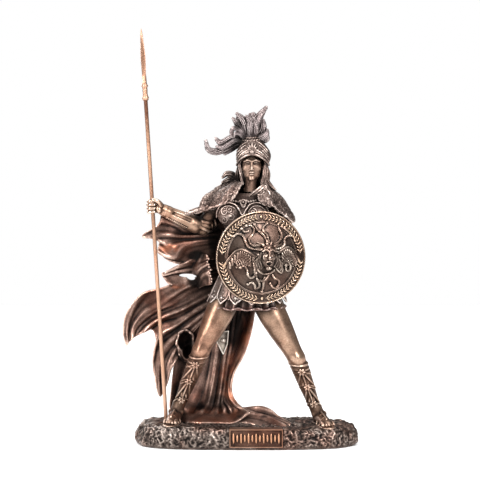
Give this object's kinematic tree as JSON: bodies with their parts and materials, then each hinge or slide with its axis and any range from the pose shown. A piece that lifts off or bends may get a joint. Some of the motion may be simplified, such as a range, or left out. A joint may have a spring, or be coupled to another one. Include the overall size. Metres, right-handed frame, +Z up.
{
  "type": "standing goddess statuette with spear and gorgon shield",
  "caption": "Cold-cast bronze figure of a helmeted goddess in a wind-blown cape, holding a spear upright and a round gorgon shield, on a rough rock base with a name plate.",
  "frame": {"origin": "middle of the base's flat underside", "axes": "+X to the viewer's right along the base, +Y away from the viewer, +Z up the figure"},
  "size_m": [0.2005, 0.0796, 0.3513],
  "materials": {
    "bronze_patina": "dark cold-cast bronze, hand-rubbed on the raised parts",
    "bronze_bright": "cold-cast bronze with bright rubbed leaves and rim",
    "copper": "bright satin copper paint"
  },
  "bodies": {
    "root": {"statue": "bronze_patina", "shield": "bronze_bright", "spear": "copper"}
  },
  "joints": []
}
